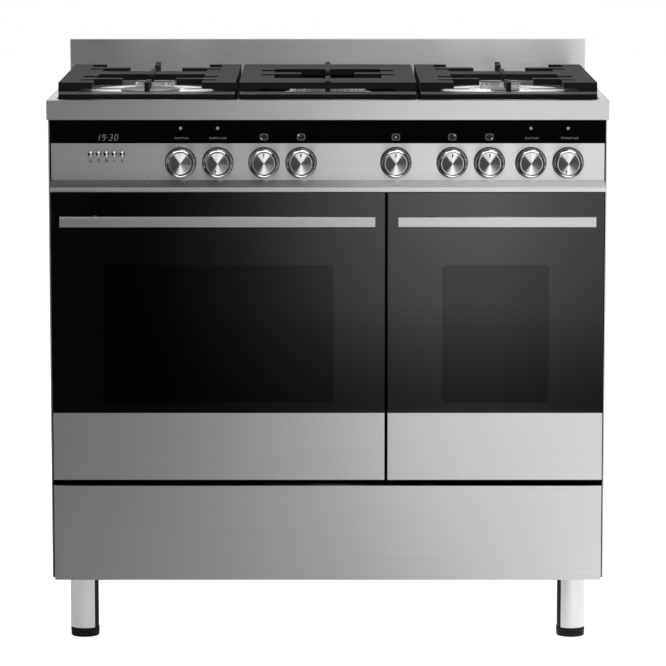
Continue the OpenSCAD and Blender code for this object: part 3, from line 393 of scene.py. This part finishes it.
def roundedLoop(x, z, width, height, corner, steps=5):
    turns = np.linspace(0, math.pi / 2, steps)
    loop = []
    for sx, sz, start in ((1, 1, 0), (-1, 1, 1), (-1, -1, 2), (1, -1, 3)):
        angle = turns + start * math.pi / 2
        loop.append(np.column_stack([x + sx * (width / 2 - corner) + corner * np.cos(angle),
                                     z + sz * (height / 2 - corner) + corner * np.sin(angle)]))
    return np.vstack(loop)


def disc(x, z, radius, steps=20):
    angle = np.linspace(0, 2 * math.pi, steps, endpoint=False)
    return np.column_stack([x + radius * np.cos(angle), z + radius * np.sin(angle)]), [tuple(range(steps))]


# Several flat shapes at one depth, joined as one piece
def prints(name, shapes, y, material, body="cooker_body"):
    points, faces, start = [], [], 0
    for shape, shapeFaces in shapes:
        points.append(np.column_stack([shape[:, 0], np.full(len(shape), y), shape[:, 1]]))
        faces += [tuple(i + start for i in face) for face in shapeFaces]
        start += len(shape)
    return piece(name, np.vstack(points), faces, material, body)


# A closed profile of radius and depth, turned about axes along Y through each X and Z
def turned(name, places, profile, material, body, steps=48, smooth=35.0):
    profile = np.array(profile, float)
    angle = np.linspace(0, 2 * math.pi, steps, endpoint=False)
    count = len(profile)
    ring = np.column_stack([np.outer(np.cos(angle), profile[:, 0]).ravel(), np.tile(profile[:, 1], steps),
                            np.outer(np.sin(angle), profile[:, 0]).ravel()])
    i, j = np.meshgrid(np.arange(steps), np.arange(count), indexing="ij")
    i, j = i.ravel(), j.ravel()
    nextI, nextJ = (i + 1) % steps, (j + 1) % count
    faces = np.column_stack([i * count + j, nextI * count + j, nextI * count + nextJ, i * count + nextJ])
    points = np.vstack([ring + (x, 0, z) for x, z in places])
    faces = np.vstack([faces + k * len(ring) for k in range(len(places))])
    return piece(name, points, faces.tolist(), material, body, smooth)


# Clock digits of thin slanted strokes; each digit is a list of lines in a cell of width 1 and height 2
digitLines = {
    "1": [[(1, 0), (1, 2)]],
    "9": [[(1, 1), (0.25, 1), (0, 1.2), (0, 1.8), (0.25, 2), (0.75, 2), (1, 1.8), (1, 0.2), (0.75, 0),
           (0.2, 0)]],
    "3": [[(0.1, 2), (0.75, 2), (1, 1.8), (1, 1.2), (0.8, 1), (1, 0.8), (1, 0.2), (0.75, 0), (0, 0)],
          [(0.3, 1), (0.8, 1)]],
    "0": [[(0, 0.2), (0.2, 0), (0.8, 0), (1, 0.2), (1, 1.8), (0.8, 2), (0.2, 2), (0, 1.8), (0, 0.3)]]}
lift = 0.00015
clock = {"x": -0.3664, "z": 0.8187, "wide": 0.0045, "tall": 0.0046, "slant": 0.2, "line": 0.0008,
         "starts": (("1", -0.0045), ("9", 0.0046), ("3", 0.0158), ("0", 0.0244)), "dotX": 0.0131,
         "dot": 0.0006}


def clockPlace(x, z):
    return (clock["x"] + x + z * clock["slant"], clock["z"] + z)


shapes = [disc(*clockPlace(clock["dotX"], clock["tall"]), clock["dot"], 10)]
for digit, start in clock["starts"]:
    for line in digitLines[digit]:
        corners = [clockPlace(start + u * clock["wide"], v * clock["tall"]) for u, v in line]
        shapes.append(stroke(corners, clock["line"]))
prints("clockDigits", shapes, stripFront - lift, printed)

# Words under the oven lamps and the burner plans above the gas knobs
panel = {"wordZ": 0.8220, "wordHeight": 0.0044, "planZ": 0.8240, "planWide": 0.0118, "planTall": 0.0094,
         "line": 0.0013, "corner": 0.0026, "ring": 0.0020, "ringLine": 0.0005, "dot": 0.0009,
         "markedDot": 0.0011, "dotX": 0.33, "dotZ": 0.27}
words = ((0, "FUNCTION", 0.0016), (1, "TEMPERATURE", 0), (7, "FUNCTION", 0.0015), (8, "TEMPERATURE", 0.0025))
for index, word, right in words:
    lettering("word" + str(index), word, knobX[index] + right, panel["wordZ"], stripFront - lift,
              panel["wordHeight"], printed)
burnerSides = {2: (-1, -1), 3: (-1, 1), 4: (0, 0), 5: (1, 1), 6: (1, -1)}
for index, marked in burnerSides.items():
    x, z = knobX[index], panel["planZ"]
    outline = roundedLoop(x, z, panel["planWide"], panel["planTall"], panel["corner"])
    shapes = [stroke(outline, panel["line"], True),
              stroke(disc(x, z, panel["ring"])[0], panel["ringLine"], True)]
    for place in burnerSides.values():
        dot = (x + place[0] * panel["planWide"] * panel["dotX"],
               z + place[1] * panel["planTall"] * panel["dotZ"])
        if place == marked:
            prints("burnerDot" + str(index), [disc(*dot, panel["markedDot"])], stripFront - lift * 1.6,
                   printedBright)
        elif place != (0, 0):
            shapes.append(disc(*dot, panel["dot"], 12))
    prints("burnerPlan" + str(index), shapes, stripFront - lift, printedDim)

# Small signs under the clock buttons: bell, dish, clock face, minus and plus
signs = {"z": 0.7860, "size": 0.0042, "line": 0.0009, "lift": 0.00012}
buttonX = [(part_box("button_%d" % n)[0][0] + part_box("button_%d" % n)[1][0]) / 2 for n in range(1, 6)]


# A line of one sign, through corners given in half sizes from the sign's middle
def sign(button, corners, closed=False):
    half = signs["size"] / 2
    places = [(buttonX[button] + u * half, signs["z"] + v * half) for u, v in corners]
    return stroke(places, signs["line"], closed)


shapes = [sign(0, [(-1, -1), (-0.7, -0.4), (-0.6, 0.5), (0, 1), (0.6, 0.5), (0.7, -0.4), (1, -1)], True),
          sign(1, [(-1, 0.5), (-1, -0.7), (1, -0.7), (1, 0.5)]), sign(1, [(-1.2, 1), (1.2, 1)]),
          stroke(disc(buttonX[2], signs["z"], signs["size"] / 2)[0], signs["line"], True),
          sign(2, [(0, 0.7), (0, 0), (0.5, 0)]), sign(3, [(-1, 0), (1, 0)]),
          sign(4, [(-1, 0), (1, 0)]), sign(4, [(0, -1), (0, 1)])]
prints("buttonSigns", shapes, fasciaFront - signs["lift"], inkBlack)

# Thin black rings on the fascia round the knob rings, and the black floor of each knob's index groove
blackRing = {"inner": 0.0243, "outer": 0.0253, "round": 0.0003, "thick": 0.0012}
blackRingFront = fasciaFront - blackRing["thick"]
turned("knobBlackRings", [(x, knobZ) for x in knobX],
       [(blackRing["inner"], fasciaFront), (blackRing["outer"], fasciaFront),
        (blackRing["outer"] - blackRing["round"], blackRingFront), (blackRing["inner"], blackRingFront)],
       inkBlack, "cooker_body")
mark = {"out": 0.02005, "half": 0.0009, "inner": 0.0105, "outer": 0.0165}
markTurn = [90, 195, 0, 0, 0, 0, 0, 90, 195]
bodyOf = {node: body for body, members in frame["record"]["behaviour"]["bodies"].items() for node in members}
for name, x, turn in zip(knobNames, knobX, markTurn):
    across = np.array([math.cos(math.radians(turn)), -math.sin(math.radians(turn))])
    along = np.array([math.sin(math.radians(turn)), math.cos(math.radians(turn))])
    flat = np.array([(x, knobZ) + across * a * mark["half"] + along * b for a, b in
                     ((-1, mark["inner"]), (1, mark["inner"]), (1, mark["outer"]), (-1, mark["outer"]))])
    prints(name + "Mark", [(flat, [(0, 1, 2, 3)])], fasciaFront - mark["out"], inkBlack, bodyOf[name])
print("prints made")


# Folded and cast edges are slightly round, so a narrow bevel finishes the CAD nodes
def soften(names, width, segments=2, angle=40):
    for name in names:
        bevel = nodes[name].modifiers.new("edges", "BEVEL")
        bevel.width = width
        bevel.segments = segments
        bevel.limit_method = "ANGLE"
        bevel.angle_limit = math.radians(angle)
        bevel.harden_normals = False


soften(["left_side_panel", "right_side_panel", "hob_top", "upstand", "control_panel", "drawer_front",
        "left_door_panel", "right_door_panel"], 0.0005)
soften(["left_door_glass", "right_door_glass", "control_glass", "left_door_frame", "right_door_frame"],
       0.0006)
soften(["left_handle", "right_handle"], 0.0006)
# The door glass in the photo shows no handle, only the studio
for side in ("left", "right"):
    nodes[side + "_handle"].visible_glossy = False
soften(["left_pan_support", "centre_pan_support", "right_pan_support"], 0.0012, 2, 30)
soften(["terminal_cover", "oven_switches", "clock_module"], 0.001)
print("edges softened")


# Pan-head screws: on the back panel, and on the inner face of both doors
def screws(name, places, out, radius, body):
    head = [(0.0002, 0), (radius, 0), (radius, out * 0.35), (radius * 0.86, out * 0.7),
            (radius * 0.6, out * 0.93), (0.0002, out)]
    return turned(name, [(x, z) for x, y, z in places], [(r, places[0][1] + d) for r, d in head],
                  finishes["zinc_steel"], body, 24)


screw = {"out": 0.0014, "radius": 0.0042, "inset": 0.012, "lowest": 0.04, "middleX": (-0.29, 0.0, 0.29),
         "doorOut": 0.0012, "doorRadius": 0.004, "doorInset": 0.02}
low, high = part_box("back_panel")
sideX, topZ = high[0] - screw["inset"], high[2] - screw["inset"]
heights = np.linspace(low[2] + screw["lowest"], topZ, 5)
rows = [(side * sideX, high[1], z) for side in (-1, 1) for z in heights]
rows += [(x, high[1], topZ) for x in screw["middleX"]]
screws("backScrews", rows, screw["out"], screw["radius"], "cooker_body")
for side in ("left", "right"):
    low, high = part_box(side + "_door_frame")
    ends = (low[0] + screw["doorInset"], high[0] - screw["doorInset"])
    places = [(x, high[1], low[2] + screw["doorInset"]) for x in ends]
    screws(side + "DoorScrews", places, screw["doorOut"], screw["doorRadius"], side + "_door")

# Round lens of the lamp in each cavity, high on the left of its back wall
lamp = {"radius": 0.021, "out": 0.010, "left": 0.055, "drop": 0.075, "sunk": 0.0015}
for side in ("left", "right"):
    low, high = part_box(side + "_oven_liner")
    wall, radius = high[1] - lamp["sunk"], lamp["radius"]
    turned(side + "OvenLamp", [(low[0] + lamp["left"], high[2] - lamp["drop"])],
           [(0.0005, wall), (radius, wall), (radius, wall - lamp["out"] * 0.3),
            (radius * 0.85, wall - lamp["out"] * 0.7), (radius * 0.5, wall - lamp["out"] * 0.95),
            (0.0005, wall - lamp["out"])],
           finishes["lamp_lens"], "cooker_body", 40)
print("small parts made")


# Sloped lip cast along the foot of each pan support's front rail
lip = {"out": 0.007, "foot": 0.0004, "front": 0.0088, "round": 0.0008, "top": 0.0126, "inset": 0.001}
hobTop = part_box("hob_top")[1][2]
profile = [(0, lip["foot"]), (lip["out"], lip["foot"]), (lip["out"], lip["front"]),
           (lip["out"] - lip["round"], lip["front"] + lip["round"]), (0, lip["top"])]
faces = [(0, 1, 2, 3, 4), (9, 8, 7, 6, 5)] + [(i, i + 5, (i + 1) % 5 + 5, (i + 1) % 5) for i in range(5)]
for side in ("left", "centre", "right"):
    low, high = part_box(side + "_pan_support")
    ends = (low[0] + lip["inset"], high[0] - lip["inset"])
    points = [(x, low[1] - out, hobTop + up) for x in ends for out, up in profile]
    rail = piece(side + "RailLip", points, faces, finishes["cast_iron"], side + "_grate")
    # Painted highlight: the lip's rounded top edge and its slope take the lighter castEdge colour, as if lit
    # from above
    rail.data.materials.append(finishes["cast_edge"])
    rail.data.polygons[4].material_index = rail.data.polygons[5].material_index = 1
print("rail lips made")

# Up the front edges of the side panels, beside the doors, the drawer and the control panel: a black strip
# of painted shade, standing for the shadow in the gap, and, outside it, the panel's turned steel edge
edge = {"black": 0.0026, "steel": 0.0021, "thick": 0.0012, "apart": 0.0002, "belowHob": 0.0315}
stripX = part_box("drawer_box")[1][0] + edge["apart"]
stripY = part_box("right_side_panel")[0][1] - edge["apart"]


# A flat bar at both sides of the cooker: each is a box of eight corners, in the order X, Y, Z
def uprights(name, inner, wide, material):
    low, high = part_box("drawer_front")[0][2], hobTop - edge["belowHob"]
    box = np.array([(0, 4, 5, 1), (4, 6, 7, 5), (6, 2, 3, 7), (2, 0, 1, 3), (1, 5, 7, 3), (0, 2, 6, 4)])
    points = [(x, y, z) for side in (-1, 1) for x in sorted((side * inner, side * (inner + wide)))
              for y in (stripY - edge["thick"], stripY) for z in (low, high)]
    piece(name, points, np.vstack([box, box + 8]).tolist(), material, "cooker_body")


# Painted shade: the black strips stand for the shadow in the gaps beside the fronts
uprights("edgeGapShade", stripX, edge["black"], finishes["matt_black"])
uprights("edgeTrims", stripX + edge["black"], edge["steel"], finishes["brushed_steel"])
print("edge strips made")


# Camera: 6 m ahead of the doors and 1.35 m up, aimed at the cooker's middle. The photo's uprights are
# parallel; a level camera would need most of a frame of shift for that, so this one is tilted instead
view = {"away": 6.28, "up": 1.35, "turn": 82.02, "lens": 203.5, "shift": 0.0078}
camera = bpy.data.cameras.new("camera")
camera.sensor_width = 36
camera.lens = view["lens"]
camera.shift_x = view["shift"]
camera.clip_start = 0.5
camera.clip_end = 60
cameraObject = bpy.data.objects.new("camera", camera)
cameraObject.location = (0, -view["away"], view["up"])
cameraObject.rotation_euler = (math.radians(view["turn"]), 0, 0)
bpy.context.scene.collection.objects.link(cameraObject)
bpy.context.scene.camera = cameraObject


def softLight(name, place, target, width, height, power):
    lamp = bpy.data.lights.new(name, "AREA")
    lamp.shape = "RECTANGLE"
    lamp.size, lamp.size_y = width, height
    lamp.energy = power
    thing = bpy.data.objects.new(name, lamp)
    thing.location = place
    thing.rotation_euler = (Vector(target) - Vector(place)).to_track_quat("-Z", "Y").to_euler()
    thing.visible_glossy = False
    bpy.context.scene.collection.objects.link(thing)


softLight("keyLight", (1.6, -2.4, 2.3), (0, -0.2, 0.6), 1.6, 1.4, 30)
softLight("topLight", (0.0, 0.2, 2.9), (0, 0.0, 0.8), 2.6, 1.6, 150)

# How bright the room looks to reflections at each angle to the right of straight ahead, in radians:
# dark on the left, a wide soft box on the right, dark again at both sides
widest = 1.4
brightest = 2.4
roomTones = [(-1.4, 0.03), (-0.5, 0.03), (-0.3, 0.08), (-0.2, 0.12), (-0.1, 0.04), (-0.048, 0.0),
             (-0.035, 0.12), (-0.021, 0.36), (-0.0075, 0.76), (0.0, 1.02), (0.0115, 1.4), (0.0278, 1.95),
             (0.0414, 2.2), (0.052, 1.9), (0.066, 1.4), (0.085, 1.0), (0.12, 2.2), (0.15, 2.2), (0.19, 0.3),
             (0.26, 0.04), (1.4, 0.03)]
overTones = [(-1.4, 0.03), (-0.50, 0.03), (-0.24, 0.10), (-0.08, 0.0), (-0.04, 0.06), (0.0, 0.2), (0.04, 0.8),
             (0.08, 2.4), (0.15, 2.2), (0.2, 0.3), (0.3, 0.03), (1.4, 0.03)]
sideTones = [(-1.4, 0.02), (-0.6, 0.02), (-0.5, 1.8), (-0.36, 2.0), (-0.24, 0.3), (0.24, 0.3), (0.36, 2.0),
             (0.5, 1.8), (0.6, 0.02), (1.4, 0.02)]
boxTones = [(-1.4, 0.02), (-0.65, 0.02), (-0.52, 1.4), (-0.3, 2.2), (0.3, 2.4), (0.52, 1.6), (0.65, 0.02),
            (1.4, 0.02)]
topTones = [(-1.4, 0.1), (-0.1, 0.0), (-0.04, 0.04), (0.0, 0.4), (0.04, 1.4), (0.08, 2.3), (0.3, 1.4),
            (1.4, 0.2)]
nearTones = [(-1.4, 0.15), (-0.1, 0.12), (0.0, 0.3), (0.04, 0.6), (0.08, 1.2), (0.3, 1.0), (0.5, 0.3),
             (1.4, 0.2)]


def roomRamp(s, angle, stops=roomTones):
    share = s.spread(angle, 0.0, 1.0, -widest, widest)
    stops = [((at + widest) / (2 * widest), tone / brightest) for at, tone in stops]
    return s.sums("MULTIPLY", s.tones(share, stops), brightest)


# White to the camera; reflections see the room in front and white behind; other light is an even grey.
# The bands lie one above the other, from straight ahead at 0 to straight up at 1
world = bpy.data.worlds.new("room")
bpy.context.scene.world = world
world.use_nodes = True
s = TreeShader(world.node_tree)
s.tree.nodes.clear()
output = s.tree.nodes.new("ShaderNodeOutputWorld")
direction = s.tree.nodes.new("ShaderNodeTexCoord").outputs["Generated"]
path = s.tree.nodes.new("ShaderNodeLightPath")
x, y, z = s.parts(direction)
sideways = s.sums("ARCSINE", x)
height = s.spread(s.sums("ARCSINE", z), 0.0, 1.0, 0.0, 1.5708)
bands = [(roomTones, [(0.0, 1), (0.13, 1), (0.18, 0)]),
         (overTones, [(0.13, 0), (0.18, 1), (0.26, 1), (0.32, 0)]),
         (sideTones, [(0.34, 0), (0.39, 1), (0.46, 1), (0.50, 0)]),
         (boxTones, [(0.44, 0), (0.50, 1), (0.62, 1), (0.68, 0)]),
         (topTones, [(0.68, 0), (0.74, 1), (1.0, 1)])]
front = 0.0
for stops, weights in bands:
    front = s.sums("ADD", front, s.sums("MULTIPLY", roomRamp(s, sideways, stops), s.tones(height, weights)))
behind = s.sums("GREATER_THAN", y, 0.0)
seen = s.sums("ADD", s.sums("MULTIPLY", front, s.sums("SUBTRACT", 1.0, behind)), behind)
white, even, shiny = [s.tree.nodes.new("ShaderNodeBackground") for _ in range(3)]
white.inputs[0].default_value = (1, 1, 1, 1)
even.inputs[0].default_value = (0.12, 0.12, 0.122, 1)
s.wire(s.joined(seen, seen, seen), shiny.inputs[0])
glossyMix, cameraMix = [s.tree.nodes.new("ShaderNodeMixShader") for _ in range(2)]
for mix, ray, first, second in ((glossyMix, "Is Glossy Ray", even, shiny),
                                (cameraMix, "Is Camera Ray", glossyMix, white)):
    s.wire(path.outputs[ray], mix.inputs[0])
    s.wire(first.outputs[0], mix.inputs[1])
    s.wire(second.outputs[0], mix.inputs[2])
s.wire(cameraMix.outputs[0], output.inputs[0])

# Plain pale floor. Reflections see it in the room's tones, at the angle from the camera's mirror image
# behind the doors, and darker close to the cooker, as a painted shadow
floorHalf = 14
floorMesh = bpy.data.meshes.new("floor")
floorMesh.from_pydata([(-floorHalf, -floorHalf, 0), (floorHalf, -floorHalf, 0), (floorHalf, floorHalf, 0),
                       (-floorHalf, floorHalf, 0)], [], [(0, 1, 2, 3)])
s = Shader("floorPale")
s.set(Base_Color=(0.6, 0.6, 0.606, 1), Roughness=0.9, Specular_IOR_Level=0.1, Emission_Color=(1, 1, 1, 1),
      Emission_Strength=1.0)
x, y, z = s.parts(s.place)
mirrorY = view["away"] + 2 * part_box("drawer_front")[0][1]
angle = s.sums("DIVIDE", x, s.sums("MAXIMUM", s.sums("SUBTRACT", mirrorY, y), 0.5))
floorStops = [(0.0, 1), (0.15, 1), (0.27, 0.87), (0.373, 0.70), (0.42, 0.47), (0.465, 0.32), (0.52, 0.17),
              (0.56, 0.3), (0.60, 0.8), (0.68, 1)]
nearness = s.tones(s.spread(y, 0.0, 1.0, -9.0, 3.0), floorStops)
# Painted shadow: close to the cooker the glow takes the dimmer nearTones
close = s.spread(y, 0.0, 1.0, -1.8, -0.9)
far = s.sums("MULTIPLY", roomRamp(s, angle), s.sums("MULTIPLY", nearness, s.sums("SUBTRACT", 1.0, close)))
tone = s.sums("ADD", far, s.sums("MULTIPLY", roomRamp(s, angle, nearTones), close))

# Seen from the height of the knobs, the floor close by is lit evenly straight ahead and dark to both
# sides; from lower down it has the room's tones
evenGlow = 1.8
path = s.tree.nodes.new("ShaderNodeLightPath")
aside, ahead, towards = s.parts(s.tree.nodes.new("ShaderNodeNewGeometry").outputs["Incoming"])
atKnobs = s.spread(s.sums("MULTIPLY", towards, path.outputs["Ray Length"]), 0.0, 1.0, 0.66, 0.72)
fromHigh = s.sums("MULTIPLY", atKnobs, s.spread(towards, 0.0, 1.0, 0.66, 0.8))
tone = s.sums("ADD", s.sums("MULTIPLY", tone, s.sums("SUBTRACT", 1.0, fromHigh)),
              s.sums("MULTIPLY", fromHigh, evenGlow))
asideShare = s.sums("DIVIDE", s.sums("ABSOLUTE", aside), s.sums("MAXIMUM", ahead, 0.001))
steep = s.sums("MULTIPLY", atKnobs, s.spread(towards, 0.0, 1.0, 0.25, 0.4))
dark = s.sums("MULTIPLY", steep, s.spread(asideShare, 0.0, 0.95, 0.5, 0.8))
tone = s.sums("MULTIPLY", tone, s.sums("SUBTRACT", 1.0, dark))
glow = s.tree.nodes.new("ShaderNodeEmission")
s.wire(s.joined(tone, tone, tone), glow.inputs[0])
mix = s.tree.nodes.new("ShaderNodeMixShader")
s.wire(path.outputs["Is Glossy Ray"], mix.inputs[0])
s.wire(s.surface.outputs[0], mix.inputs[1])
s.wire(glow.outputs[0], mix.inputs[2])
s.wire(mix.outputs[0], s.output.inputs[0])
floorMesh.materials.append(s.material)
floor = bpy.data.objects.new("floor", floorMesh)
bpy.context.scene.collection.objects.link(floor)
bpy.context.scene.view_settings.view_transform = "Standard"
print("stage set")
